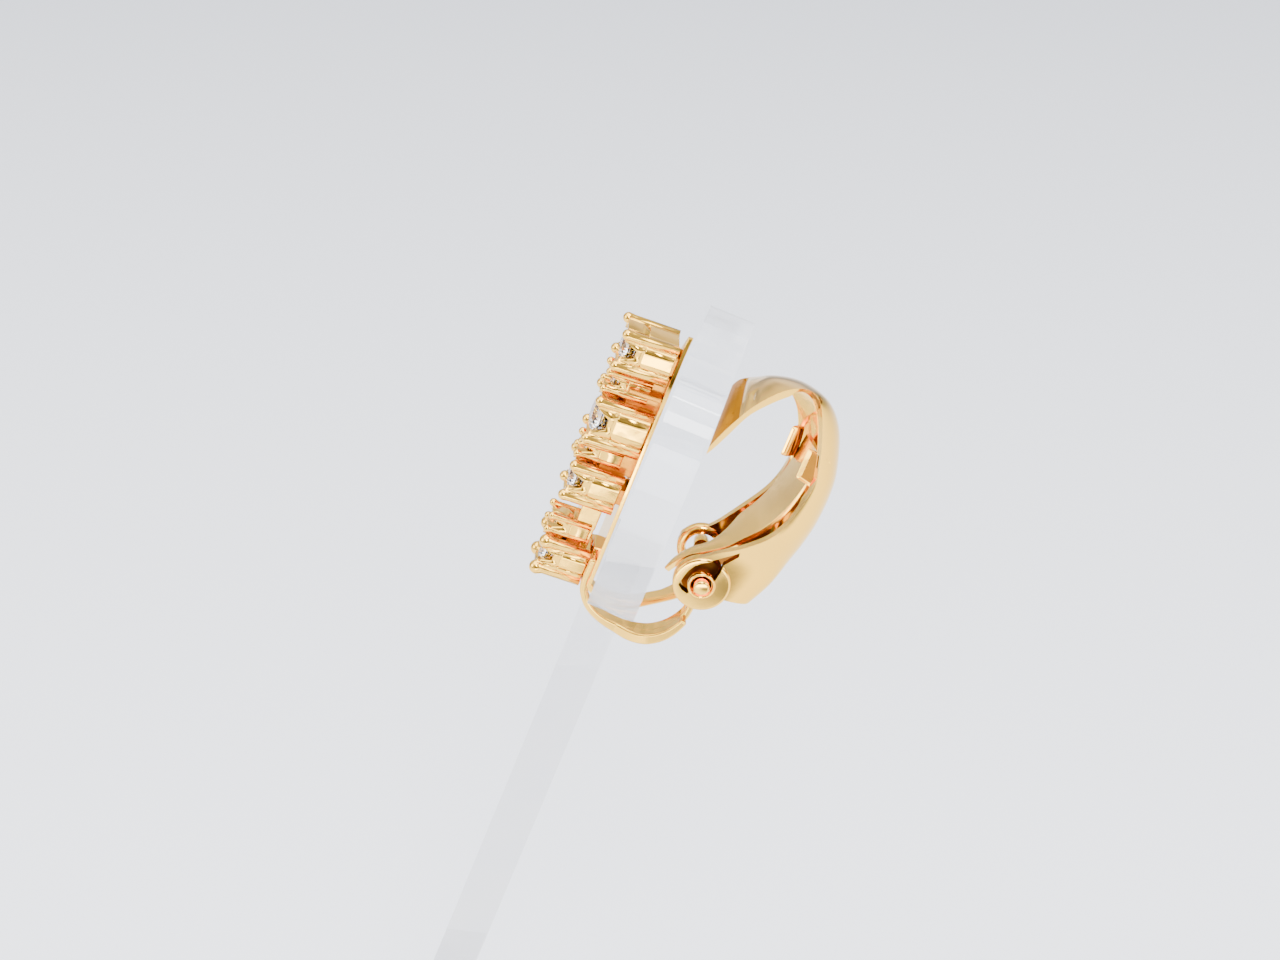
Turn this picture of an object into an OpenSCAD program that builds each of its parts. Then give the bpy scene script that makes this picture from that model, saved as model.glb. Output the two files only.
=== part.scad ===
// Clip-on earring on a small clear display stand, in millimetres, +Z up, front of the earring toward -Y.
// The stand's upright leans back, so the parts on it are drawn in the upright's own frame.

/* [Display stand] */
// how far the upright leans back, in degrees
lean = 20.6; // [0:0.1:35]
// thickness of the foot plate
base_t = 4; // [2:0.5:8]
// width of the foot plate
base_w = 28; // [20:1:50]
// depth of the foot plate
base_d = 36; // [24:1:60]
// how far the foot plate reaches forward of the stem
base_front = 6; // [3:0.5:20]
// width of the stem
stem_w = 8; // [5:0.5:14]
// thickness of the stem
stem_t = 2.6; // [1.5:0.1:5]
// width of the head plate that the earring grips
head_w = 18; // [12:0.5:40]
// thickness of the head plate
head_t = 3; // [1.5:0.1:4]
// lowest level of the head plate above the foot plate, along the upright
head_low = 47.5; // [25:0.1:80]
// highest level of the head plate
head_top = 62.4; // [35:0.1:100]
// corner radius of the head plate at its top
head_r = 3.3; // [0.5:0.1:6]
// corner radius of the head plate at its bottom
head_foot_r = 0.4; // [0.2:0.1:6]

/* [Front of the earring] */
// height of the prong tips in front of the hinge pin
tip_z = 9.92; // [6:0.02:14]
// height of the stones' girdles in front of the hinge pin
girdle_z = 9.2; // [5:0.02:13]
// how far the walls rise above the notch in their middle
wall_rise = 0.85; // [0.2:0.05:1]
// radius of a prong wire
prong_r = 0.3; // [0.2:0.01:0.5]
// radius of the rounded tip of a prong
bead_r = 0.34; // [0.25:0.01:0.6]
// how far the walls stand behind the prong wires
wall_in = 0.12; // [0:0.01:0.3]
// stone table width as a share of the stone
table_part = 0.56; // [0.4:0.01:0.7]
// stone crown height as a share of the stone
crown_part = 0.18; // [0.1:0.01:0.3]
// stone pavilion depth as a share of the stone
pavilion_part = 0.42; // [0.35:0.01:0.5]

/* [Clip] */
// sideways place of the clip on the head plate
clip_x = 5.5; // [-8:0.1:8]
// turn of the clip about the upright's long axis, in degrees
clip_turn = 9; // [-15:0.5:15]
// hinge pin diameter
pin_d = 0.95; // [0.6:0.01:1.5]
// bore of the near cheek's collar round its pin
bore_d = 1.05; // [0.65:0.01:1.6]
// open hole of the far cheek, wide round its pin
far_bore_d = 2; // [1.2:0.05:2.4]
// thickness of the paddle's sheet
sheet_t = 0.5; // [0.3:0.05:0.8]
// thickness of the spring strip
spring_t = 0.3; // [0.2:0.01:0.5]
// outer face of the cheeks from the middle
cheek_x = 2.68; // [2:0.01:4]
// radius of the near cheek's round lobe
lobe_r = 1.75; // [1.2:0.05:2.5]
// radius of the far cheek's lobe
far_lobe_r = 1.5; // [1.2:0.05:2.5]
// radius of the near cheek's collar
collar_r = 0.85; // [0.7:0.01:1.2]

/* [Hidden] */
$fn = 48;

// hinge pin centre in the upright's frame, behind the stem's middle plane and up from the foot plate
hinge_q = 4.53;
hinge_p = 51.3;
girdle_t = 0.07;

// One row for each stone, from the top down: up, width and height of its basket, stone diameter,
// back of its basket, height of the notches in its side walls, half the notch's width at its mouth,
// share of the full wire size, tip size beside the wire.
P = 0;
WIDE = 1;
TALL = 2;
DIA = 3;
BACK = 4;
WALL = 5;
MOUTH = 6;
WIRE = 7;
TIP = 8;
SETTINGS = [
    [12.15, 3.10, 2.70, 2.20, 6.42, 8.75, 0.70, 1.0, 1.0],
    [9.85, 1.90, 1.50, 1.10, 7.00, 8.85, 0.42, 0.6, 1.25],
    [7.38, 3.20, 3.15, 2.65, 6.32, 8.75, 0.92, 1.0, 1.0],
    [5.12, 1.70, 1.20, 0.85, 7.00, 8.85, 0.30, 0.6, 1.25],
    [3.12, 3.10, 2.65, 2.15, 6.50, 8.75, 0.66, 1.0, 1.0],
    [-0.12, 2.10, 1.30, 0.95, 7.20, 8.85, 0.34, 0.6, 1.25],
    [-2.17, 3.00, 2.45, 1.95, 6.70, 8.75, 0.50, 1.0, 1.3]
];

// Bars that join the baskets behind: half width, low, high, back, front.
GALLERY = [
    [0.50, -2.6, 12.95, 6.95, 7.45],
    [0.70, 8.6, 11.2, 6.18, 8.20],
    [1.26, 9.7, 10.0, 6.24, 8.30],
    [0.62, 4.2, 6.2, 6.18, 8.20],
    [0.80, 0.2, 2.2, 6.95, 8.20],
    [0.90, 11.4, 12.6, 6.18, 7.20],
    [0.92, 6.6, 7.8, 6.18, 7.20],
    [0.94, 2.4, 3.4, 6.18, 7.20],
    [0.90, -2.8, -1.6, 6.18, 7.20]
];

// Base strip soldered behind the front: up along it, half width, how far it bends back.
STRIP = [
    [-3.0, 1.80, 0.00],
    [0.0, 1.75, 0.00],
    [4.0, 1.70, 0.00],
    [8.0, 1.50, 0.02],
    [11.0, 1.10, 0.08],
    [12.8, 0.55, 0.16],
    [13.8, 0.12, 0.26]
];

// Legs of the hinge frame, drawn from the side: back, up, thickness. The far leg is bent tighter.
LEG_NEAR = [
    [-6.45, -1.2, 0.45],
    [-6.45, -2.9, 0.45],
    [-6.16, -3.74, 0.42],
    [-5.55, -4.42, 0.45],
    [-4.65, -4.88, 0.52],
    [-3.60, -5.12, 0.66],
    [-2.70, -5.14, 0.72],
    [-1.70, -4.92, 0.72],
    [-0.92, -4.42, 0.68],
    [-0.38, -3.75, 0.58],
    [0.00, -2.95, 0.48],
    [0.12, -2.20, 0.46],
    [0.10, -1.40, 0.70],
    [0.00, 0.00, 1.10]
];
LEG_FAR = [
    [-6.45, -1.2, 0.45],
    [-6.45, -2.9, 0.45],
    [-6.16, -3.74, 0.42],
    [-5.55, -4.38, 0.45],
    [-4.65, -4.72, 0.48],
    [-3.60, -4.72, 0.50],
    [-2.70, -4.46, 0.50],
    [-1.90, -3.96, 0.48],
    [-1.20, -3.48, 0.46],
    [-0.55, -2.98, 0.46],
    [-0.10, -2.40, 0.46],
    [0.06, -1.80, 0.50],
    [0.05, -1.20, 0.70],
    [0.00, 0.00, 1.10]
];
// station where a leg narrows to pass inside the cheeks, and its two outer widths from the middle
leg_to = 10;
leg_x = 1.75;
leg_wide_x = 2.3;

// Paddle stations from the heel round the bow to the pad's end. Columns: near rim back and up, far rim
// back and up, crest back and up, half width, boxiness across, boxiness at the crest.
PADDLE = [
    [-1.20, -0.6, -1.20, -0.6, 3.45, -0.6, 2.60, 5.5, 3.4],
    [-1.50, 0.8, -1.45, 0.55, 4.20, 0.8, 2.60, 5.0, 3.2],
    [-0.10, 2.1, -0.05, 1.5, 4.70, 2.4, 2.62, 3.8, 2.8],
    [1.60, 3.3, 1.30, 3.4, 5.00, 4.1, 2.72, 3.4, 2.4],
    [3.00, 5.0, 2.40, 5.2, 5.20, 5.9, 2.90, 3.0, 2.0],
    [3.75, 7.9, 2.85, 6.9, 5.20, 7.7, 3.00, 2.6, 1.6],
    [3.65, 9.8, 2.80, 8.6, 5.00, 9.3, 3.00, 2.4, 1.4],
    [2.90, 12.3, 2.50, 10.0, 4.30, 11.4, 2.90, 2.2, 1.2],
    [2.05, 13.9, 2.00, 11.1, 3.10, 12.8, 2.80, 2.1, 1.1],
    [1.00, 14.25, 1.20, 12.1, 1.40, 13.5, 2.80, 2.0, 1.0],
    [-0.20, 13.7, 0.00, 11.9, -0.30, 13.2, 3.00, 2.0, 1.0],
    [-1.50, 12.3, -0.90, 11.4, -1.30, 12.3, 3.30, 2.0, 1.0],
    [-2.45, 10.6, -1.60, 10.8, -2.20, 11.1, 3.60, 2.0, 1.0],
    [-3.05, 9.2, -1.87, 10.2, -2.47, 9.95, 3.80, 2.0, 1.0]
];

// Opening in the near cheek above its collar, pointed along the rim: back, up.
CHEEK_OPENING = [
    [-1.30, -0.45],
    [-1.20, 0.15],
    [-1.06, 0.66],
    [-0.84, 1.05],
    [-0.48, 1.38],
    [0.00, 1.66],
    [0.52, 1.98],
    [1.40, 2.72],
    [1.42, 2.58],
    [0.66, 1.84],
    [0.74, 1.27],
    [0.66, 0.50],
    [0.00, 0.00],
    [-0.62, -0.85],
    [-1.00, -0.72]
];

// Spring strip stations: back, up, middle's sideways place, half width, near edge's shift back and up.
// It narrows to a pointed tongue beside the near cheek.
SPRING = [
    [-2.08, -0.38, 1.40, 0.12, 0.00, 0.00],
    [-1.80, 0.25, 1.38, 0.36, 0.00, 0.00],
    [-1.15, 1.10, 1.32, 0.48, 0.00, 0.00],
    [-0.10, 1.82, 1.18, 0.64, 0.00, 0.00],
    [0.75, 2.48, 0.70, 1.12, 0.03, 0.00],
    [1.45, 3.30, 0.15, 1.62, 0.08, 0.02],
    [2.30, 4.50, 0.00, 1.85, 0.15, 0.05],
    [3.00, 6.30, 0.00, 2.05, 0.22, 0.15],
    [3.42, 8.30, 0.00, 2.00, 0.28, 0.25],
    [3.44, 9.40, 0.00, 1.80, 0.24, 0.28],
    [3.38, 10.00, 0.00, 1.50, 0.18, 0.25]
];

// Lugs bent inward from the paddle's rims: outer x, outer back, inner x, inner back, low, high.
LUGS = [
    [2.75, 3.75, 1.90, 2.75, 8.3, 10.4],
    [-2.75, 2.90, -1.90, 2.10, 7.7, 9.8]
];

module in_plate() translate([0, 0, base_t]) rotate([-lean, 0, 0]) children();

module in_clip() in_plate() translate([clip_x, hinge_q, hinge_p]) rotate([0, 0, clip_turn]) children();

// Across, up the front, and out of the hinge toward the face.
module in_front() in_clip() rotate([90, 0, 0]) children();

// Turns a profile drawn as back and up into a slab between two sideways places.
module side_slab(x0, x1) translate([x0, 0, 0]) rotate([90, 0, 90]) linear_extrude(x1 - x0) children();

function pick(tab, i) = tab[max(0, min(len(tab) - 1, i))];

function blend(a, b, c, d, t) =
    0.5 * (2 * b + (c - a) * t + (2 * a - 5 * b + 4 * c - d) * t * t + (3 * b - a - 3 * c + d) * t * t * t);

function smooth(tab, n) = [
    for (i = [0:len(tab) - 2], k = [0:n - 1])
        blend(pick(tab, i - 1), tab[i], tab[i + 1], pick(tab, i + 2), k / n),
    tab[len(tab) - 1]
];

function unit(v) = v / norm(v);

// Outline of a ribbon whose rows are back, up and thickness.
function ribbon(tab) =
    let (
        n = len(tab) - 1,
        at = [for (r = tab) [r[0], r[1]]],
        side = [for (i = [0:n]) let (d = unit(at[min(n, i + 1)] - at[max(0, i - 1)])) [-d[1], d[0]]]
    )
    concat(
        [for (i = [0:n]) at[i] + side[i] * tab[i][2] / 2],
        [for (i = [n:-1:0]) at[i] - side[i] * tab[i][2] / 2]
    );

// A round brilliant with its girdle at height 0, table up.
module brilliant(d) {
    r = d / 2;
    rt = r * table_part;
    g = girdle_t / 2;
    hc = g + d * crown_part;
    hp = g + d * pavilion_part;
    rb = r * 0.8;
    rl = r * 0.24;
    zb = hc - (rb * cos(22.5) - rt) * (hc - g) / (r - rt);
    zl = -g - (r - rl * cos(22.5)) * (hp - g) / r;
    ring = function (rad, z, n, a) [for (i = [0:n - 1]) [rad * cos(a + i * 360 / n), rad * sin(a + i * 360 / n), z]];
    tops = ring(rt, hc, 8, 0);
    bez = ring(rb, zb, 8, 22.5);
    gt = ring(r, g, 16, 0);
    gb = ring(r, -g, 16, 0);
    low = ring(rl, zl, 8, 22.5);
    polyhedron(
        points = concat(tops, bez, gt, gb, low, [[0, 0, -hp]]),
        faces = concat(
            [[for (i = [7:-1:0]) i]],
            [for (i = [0:7]) [i, (i + 1) % 8, 8 + i]],
            [for (i = [0:7]) [i, 8 + i, 16 + 2 * i]],
            [for (i = [0:7]) [i, 16 + 2 * i, 8 + (i + 7) % 8]],
            [for (i = [0:7]) [8 + i, 17 + 2 * i, 16 + 2 * i]],
            [for (i = [0:7]) [8 + i, 16 + (2 * i + 2) % 16, 17 + 2 * i]],
            [for (i = [0:15]) [16 + i, 16 + (i + 1) % 16, 32 + (i + 1) % 16]],
            [for (i = [0:15]) [16 + i, 32 + (i + 1) % 16, 32 + i]],
            [for (i = [0:7]) [48 + i, 32 + 2 * i, 33 + 2 * i]],
            [for (i = [0:7]) [48 + i, 33 + 2 * i, 32 + (2 * i + 2) % 16]],
            [for (i = [0:7]) [56, 32 + 2 * i, 48 + i]],
            [for (i = [0:7]) [56, 48 + (i + 7) % 8, 32 + 2 * i]]
        )
    );
}

module stone(i) {
    s = SETTINGS[i];
    color("gainsboro")
    in_front()
    translate([0, s[P], girdle_z])
    brilliant(s[DIA]);
}

// One prong wire with its rounded tip, standing on height 0.
module prong(h, r, b) {
    rotate_extrude()
    polygon([
        [0, 0],
        [r, 0],
        [r, h - 1.9 * b],
        [b, h - 1.3 * b],
        [b, h - 0.7 * b],
        [b * 0.8, h - 0.25 * b],
        [b * 0.4, h],
        [0, h]
    ]);
}

// Box basket open through its middle, notched in its two side walls, with a prong wire at each corner.
module basket(s) {
    r = prong_r * s[WIRE];
    cx = s[WIDE] / 2 - r;
    cy = s[TALL] / 2 - r;
    wide = s[WIDE] - 2 * wall_in * s[WIRE];
    tall = s[TALL] - 2 * wall_in * s[WIRE];
    seat = s[DIA] / 2 - (girdle_z - s[WALL]) / (2 * pavilion_part) + 0.09;
    top = s[WALL] + wall_rise;
    translate([0, s[P], 0]) {
        difference() {
            translate([-wide / 2, -tall / 2, s[BACK]])
            cube([wide, tall, top - s[BACK]]);
            translate([0, 0, s[BACK] - 0.5])
            cylinder(h = s[WALL] - s[BACK] + 1, r = seat);
            translate([0, 0, s[WALL]])
            cylinder(h = 1, r = s[DIA] / 2 + 0.04);
            translate([-2, 0, 0])
            rotate([90, 0, 90])
            linear_extrude(4)
            polygon([
                [-0.13 * s[DIA], s[WALL]],
                [0.13 * s[DIA], s[WALL]],
                [s[MOUTH], top + 0.01],
                [-s[MOUTH], top + 0.01]
            ]);
        }
        for (x = [-cx, cx], y = [-cy, cy])
            translate([x, y, s[BACK]])
            prong(tip_z - s[BACK], r, bead_r * s[WIRE] * s[TIP]);
    }
}

// Strip along the back of the front, pointed at its top.
module base_strip() {
    rows = smooth(STRIP, 3);
    n = len(rows) - 1;
    pts = [
        for (r = rows, k = [0:3])
            [(k == 1 || k == 2) ? r[1] : -r[1], r[0], (k < 2 ? 5.98 : 6.28) - r[2]]
    ];
    polyhedron(
        points = pts,
        faces = concat(
            [[3, 2, 1, 0]],
            [for (i = [0:n - 1], k = [0:3]) [4 * i + 4 + (k + 1) % 4, 4 * i + 4 + k, 4 * i + k]],
            [for (i = [0:n - 1], k = [0:3]) [4 * i + (k + 1) % 4, 4 * i + 4 + (k + 1) % 4, 4 * i + k]],
            [[4 * n, 4 * n + 1, 4 * n + 2, 4 * n + 3]]
        )
    );
}

// One leg of the hinge frame with its eye and pin: wide from one station on, narrow between the cheeks.
module leg(rows, inner, first, eye) {
    line = smooth(rows, 3);
    side_slab(0.7, leg_x)
    union() {
        polygon(ribbon(line));
        circle(r = eye);
    }
    side_slab(inner, leg_wide_x)
    polygon(ribbon([for (i = [3 * first:3 * leg_to]) line[i] - [0, 0, 0.04]]));
    translate([0.7, 0, 0])
    rotate([0, 90, 0])
    cylinder(h = 2.5, d = pin_d);
}

// The two legs and the solder block that joins them to the front.
module hinge_frame() {
    leg(LEG_NEAR, 1.0, 4, 1.25);
    mirror([1, 0, 0])
    leg(LEG_FAR, 1.3, 7, 0.62);
    side_slab(-0.9, 0.9)
    translate([-6.62, -2.95])
    square([0.45, 2.2]);
}

module setting() {
    color("gold")
    union() {
        in_front() {
            for (s = SETTINGS) basket(s);
            for (g = GALLERY)
                translate([-g[0], g[1], g[3]])
                cube([2 * g[0], g[2] - g[1], g[4] - g[3]]);
            base_strip();
        }
        in_clip() hinge_frame();
    }
}

// Points across one paddle station, from the near rim over the crest to the far rim, outside or inside.
function station(r, n, inside) =
    let (
        near = [r[0], r[1]],
        far = [r[2], r[3]],
        lift = [r[4], r[5]] - (near + far) / 2,
        b = norm(lift),
        flat = [
            for (j = [0:n])
                let (a = 180 * j / n, c = cos(a), s = max(0, sin(a)))
                [r[6] * sign(c) * pow(abs(c), 2 / r[7]), b * pow(s, 2 / r[8])]
        ]
    )
    [
        for (j = [0:n])
            let (
                d = unit(flat[min(n, j + 1)] - flat[max(0, j - 1)]),
                f = inside ? flat[j] + [-d[1], d[0]] * sheet_t : flat[j],
                w = (1 - f[0] / r[6]) / 2,
                base = near + (far - near) * w + lift / b * f[1]
            )
            [f[0], base[0], base[1]]
    ];

module paddle_sheet() {
    rows = smooth(PADDLE, 2);
    n = 16;
    m = len(rows) - 1;
    w = n + 1;
    half = (m + 1) * w;
    quad = function (a, b, c, d) [[a, c, b], [a, d, c]];
    polyhedron(
        points = concat(
            [for (r = rows, p = station(r, n, false)) p],
            [for (r = rows, p = station(r, n, true)) p]
        ),
        faces = [
            for (i = [0:m - 1], j = [0:n - 1]) each
                quad(i * w + j, i * w + j + 1, (i + 1) * w + j + 1, (i + 1) * w + j),
            for (i = [0:m - 1], j = [0:n - 1]) each
                quad(half + i * w + j, half + (i + 1) * w + j, half + (i + 1) * w + j + 1, half + i * w + j + 1),
            for (i = [0:m - 1]) each
                quad(i * w, (i + 1) * w, half + (i + 1) * w, half + i * w),
            for (i = [0:m - 1]) each
                quad(i * w + n, half + i * w + n, half + (i + 1) * w + n, (i + 1) * w + n),
            for (j = [0:n - 1]) each
                quad(j, half + j, half + j + 1, j + 1),
            for (j = [0:n - 1]) each
                quad(m * w + j, m * w + j + 1, half + m * w + j + 1, half + m * w + j)
        ]
    );
}

// Round bar on the hinge axis between two sideways places.
module along_pin(x0, x1, r) translate([x0, 0, 0]) rotate([0, 90, 0]) cylinder(h = x1 - x0, r = r);

module paddle() {
    color("goldenrod")
    in_clip()
    difference() {
        union() {
            paddle_sheet();
            along_pin(cheek_x - 0.66, cheek_x, lobe_r);
            along_pin(-cheek_x, 0.66 - cheek_x, far_lobe_r);
            along_pin(cheek_x - 0.2, cheek_x + 0.2, collar_r);
            for (g = LUGS)
                translate([0, 0, g[4]])
                linear_extrude(g[5] - g[4])
                polygon([
                    [g[0], g[1]],
                    [g[2], g[3]],
                    [g[2], g[3] + 0.45],
                    [g[0], g[1] + 0.7]
                ]);
        }
        along_pin(0, 4, bore_d / 2);
        along_pin(-4, -0.5, far_bore_d / 2);
        difference() {
            side_slab(cheek_x - 0.7, cheek_x + 0.1)
            polygon(CHEEK_OPENING);
            along_pin(cheek_x - 0.8, cheek_x + 0.3, collar_r);
        }
    }
}

module spring_strip() {
    rows = smooth(SPRING, 2);
    n = len(rows) - 1;
    at = [for (r = rows) [r[0], r[1]]];
    side = [for (i = [0:n]) let (d = unit(at[min(n, i + 1)] - at[max(0, i - 1)])) [-d[1], d[0]] * spring_t / 2];
    pts = [
        for (i = [0:n], k = [0:3])
            let (
                r = rows[i],
                e = (k == 1 || k == 2) ? 1 : -1,
                s = k < 2 ? -1 : 1,
                c = at[i] + e * [r[4], r[5]] + s * side[i]
            )
            [r[2] + e * r[3], c[0], c[1]]
    ];
    color("darkkhaki")
    in_clip()
    polyhedron(
        points = pts,
        faces = concat(
            [[3, 2, 1, 0]],
            [for (i = [0:n - 1], k = [0:3]) [4 * i + 4 + (k + 1) % 4, 4 * i + 4 + k, 4 * i + k]],
            [for (i = [0:n - 1], k = [0:3]) [4 * i + (k + 1) % 4, 4 * i + 4 + (k + 1) % 4, 4 * i + k]],
            [[4 * n, 4 * n + 1, 4 * n + 2, 4 * n + 3]]
        )
    );
}

// Rectangle standing on height 0 with its own corner radius at the top and at the bottom.
module rounded(w, h, top_r, foot_r) {
    union() {
        translate([-w / 2 + foot_r, 0]) square([w - 2 * foot_r, h / 2]);
        translate([-w / 2 + top_r, h / 2]) square([w - 2 * top_r, h / 2]);
        translate([-w / 2, foot_r]) square([w, h - foot_r - top_r]);
        for (m = [0, 1])
            mirror([m, 0]) {
                translate([w / 2 - foot_r, foot_r]) circle(r = foot_r);
                translate([w / 2 - top_r, h - top_r]) circle(r = top_r);
            }
    }
}

// Head plate: its front face stands back from the stem's front, which leaves the small step.
module display_head() {
    color("lightcyan")
    in_plate()
    translate([0, 2.03, head_low])
    rotate([90, 0, 0])
    linear_extrude(head_t)
    rounded(head_w, head_top - head_low, head_r, head_foot_r);
}

module display_stem() {
    color("lightcyan")
    difference() {
        in_plate()
        translate([-stem_w / 2, -stem_t / 2, -5])
        cube([stem_w, stem_t, head_low + 4.95]);
        translate([-20, -20, -20])
        cube([40, 40, 20.03 + base_t]);
    }
}

module display_base() {
    color("lightcyan")
    translate([0, -base_front, 0])
    linear_extrude(base_t)
    rounded(base_w, base_d, 3, 3);
}

setting();
stone(0);  // stone_1
stone(1);  // stone_2
stone(2);  // stone_3
stone(3);  // stone_4
stone(4);  // stone_5
stone(5);  // stone_6
stone(6);  // stone_7
paddle();
spring_strip();
display_head();
display_stem();
display_base();
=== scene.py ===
import math
import bpy
import bmesh
from mathutils import Matrix, Vector


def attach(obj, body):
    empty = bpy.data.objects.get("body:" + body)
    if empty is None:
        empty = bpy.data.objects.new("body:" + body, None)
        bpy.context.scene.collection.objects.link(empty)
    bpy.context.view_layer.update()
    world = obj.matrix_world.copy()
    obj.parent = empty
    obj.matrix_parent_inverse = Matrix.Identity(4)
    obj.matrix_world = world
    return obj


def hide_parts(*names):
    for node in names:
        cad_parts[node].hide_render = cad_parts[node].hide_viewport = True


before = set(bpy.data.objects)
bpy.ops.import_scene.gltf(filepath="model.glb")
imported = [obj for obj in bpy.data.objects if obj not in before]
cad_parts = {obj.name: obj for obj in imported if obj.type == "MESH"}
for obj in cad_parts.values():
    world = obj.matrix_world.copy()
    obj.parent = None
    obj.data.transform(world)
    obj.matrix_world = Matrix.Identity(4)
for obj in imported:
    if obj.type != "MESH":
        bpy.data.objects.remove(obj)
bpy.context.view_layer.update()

ROOT = "stand_and_front"
CLIP = "clip_paddle"

# Places of the part's source: the upright's lean and foot, the hinge pin on it and the clip's turn.
LEAN = 20.6
FOOT_T = 4
HINGE_AT = (5.5, 4.53, 51.3)
CLIP_TURN = 9

# The source's frames, as matrices from millimetres there to metres here. In the clip's frame a point is
# across, back and up. In the front's frame it is across, up and out toward the face.
MM = 0.001
PLATE = Matrix.Translation((0, 0, FOOT_T)) @ Matrix.Rotation(math.radians(-LEAN), 4, "X")
HINGE = PLATE @ Matrix.Translation(HINGE_AT) @ Matrix.Rotation(math.radians(CLIP_TURN), 4, "Z")
CLIP_FRAME = Matrix.Scale(MM, 4) @ HINGE
FRONT_FRAME = CLIP_FRAME @ Matrix.Rotation(math.radians(90), 4, "X")

# Sizes of the front in millimetres: tips and girdles out from the hinge pin, rise of the walls beside
# a notch, how far the walls stand behind the wires, wire and bead radius, pavilion's share of a stone.
TIP_Z = 9.92
GIRDLE_Z = 9.2
WALL_RISE = 0.85
WALL_IN = 0.12
PRONG_R = 0.30
BEAD_R = 0.34
PAVILION_PART = 0.42

# Sizes of the clip in millimetres.
SHEET_T = 0.5
SPRING_T = 0.3
PIN_R = 0.475
CHEEK_IN = 2.04
CHEEK_OUT = 2.70
LEG_IN = 0.7
LEG_OUT = 1.75
LEG_WIDE = 2.3

# Baskets from the top down: up, width, height, stone diameter, back, notch height, notch half width,
# wire size, tip size.
SETTINGS = [
    (12.15, 3.10, 2.70, 2.20, 6.42, 8.75, 0.70, 1.0, 1.0),
    (9.85, 1.90, 1.50, 1.10, 7.00, 8.85, 0.42, 0.6, 1.25),
    (7.38, 3.20, 3.15, 2.65, 6.32, 8.75, 0.92, 1.0, 1.0),
    (5.12, 1.70, 1.20, 0.85, 7.00, 8.85, 0.30, 0.6, 1.25),
    (3.12, 3.10, 2.65, 2.15, 6.50, 8.75, 0.66, 1.0, 1.0),
    (-0.12, 2.10, 1.30, 0.95, 7.20, 8.85, 0.34, 0.6, 1.25),
    (-2.17, 3.00, 2.45, 1.95, 6.70, 8.75, 0.50, 1.0, 1.3),
]

# Bars between the baskets: half width, low, high, back, front, and whether light falls on the bar.
GALLERY = [
    (0.50, -2.6, 12.95, 6.95, 7.45, True),
    (0.70, 8.6, 11.2, 6.18, 8.20, False),
    (1.26, 9.7, 10.0, 6.24, 8.30, False),
    (0.62, 4.2, 6.2, 6.18, 8.20, False),
    (0.80, 0.2, 2.2, 6.95, 8.20, True),
    (0.90, 11.4, 12.6, 6.18, 7.20, False),
    (0.92, 6.6, 7.8, 6.18, 7.20, False),
    (0.94, 2.4, 3.4, 6.18, 7.20, False),
    (0.90, -2.8, -1.6, 6.18, 7.20, False),
]

# Base strip behind the front: up along it, half width, how far it bends back.
STRIP = [
    (-3.0, 1.80, 0.00),
    (0.0, 1.75, 0.00),
    (4.0, 1.70, 0.00),
    (8.0, 1.50, 0.02),
    (11.0, 1.10, 0.08),
    (12.8, 0.55, 0.16),
    (13.8, 0.12, 0.26),
]

# Legs of the hinge frame, drawn from the side: back, up, thickness.
LEG_NEAR = [
    (-6.45, -1.2, 0.45),
    (-6.45, -2.9, 0.45),
    (-6.16, -3.74, 0.42),
    (-5.55, -4.42, 0.45),
    (-4.65, -4.88, 0.52),
    (-3.60, -5.12, 0.66),
    (-2.70, -5.14, 0.72),
    (-1.70, -4.92, 0.72),
    (-0.92, -4.42, 0.68),
    (-0.38, -3.75, 0.58),
    (0.00, -2.95, 0.48),
    (0.12, -2.20, 0.46),
    (0.10, -1.40, 0.70),
    (0.00, 0.00, 1.10),
]
LEG_FAR = [
    (-6.45, -1.2, 0.45),
    (-6.45, -2.9, 0.45),
    (-6.16, -3.74, 0.42),
    (-5.55, -4.38, 0.45),
    (-4.65, -4.72, 0.48),
    (-3.60, -4.72, 0.50),
    (-2.70, -4.46, 0.50),
    (-1.90, -3.96, 0.48),
    (-1.20, -3.48, 0.46),
    (-0.55, -2.98, 0.46),
    (-0.10, -2.40, 0.46),
    (0.06, -1.80, 0.50),
    (0.05, -1.20, 0.70),
    (0.00, 0.00, 1.10),
]

# Paddle stations from the heel round the bow to the pad's end: near rim back and up, far rim back and
# up, crest back and up, half width, boxiness across, boxiness at the crest.
PADDLE = [
    (-1.20, -0.6, -1.20, -0.6, 3.45, -0.6, 2.60, 5.5, 3.4),
    (-1.50, 0.8, -1.45, 0.55, 4.20, 0.8, 2.60, 5.0, 3.2),
    (-0.10, 2.1, -0.05, 1.5, 4.70, 2.4, 2.62, 3.8, 2.8),
    (1.60, 3.3, 1.30, 3.4, 5.00, 4.1, 2.72, 3.4, 2.4),
    (3.00, 5.0, 2.40, 5.2, 5.20, 5.9, 2.90, 3.0, 2.0),
    (3.75, 7.9, 2.85, 6.9, 5.20, 7.7, 3.00, 2.6, 1.6),
    (3.65, 9.8, 2.80, 8.6, 5.00, 9.3, 3.00, 2.4, 1.4),
    (2.90, 12.3, 2.50, 10.0, 4.30, 11.4, 2.90, 2.2, 1.2),
    (2.05, 13.9, 2.00, 11.1, 3.10, 12.8, 2.80, 2.1, 1.1),
    (1.00, 14.25, 1.20, 12.1, 1.40, 13.5, 2.80, 2.0, 1.0),
    (-0.20, 13.7, 0.00, 11.9, -0.30, 13.2, 3.00, 2.0, 1.0),
    (-1.50, 12.3, -0.90, 11.4, -1.30, 12.3, 3.30, 2.0, 1.0),
    (-2.45, 10.6, -1.60, 10.8, -2.20, 11.1, 3.60, 2.0, 1.0),
    (-3.05, 9.2, -1.87, 10.2, -2.47, 9.95, 3.80, 2.0, 1.0),
]

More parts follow.
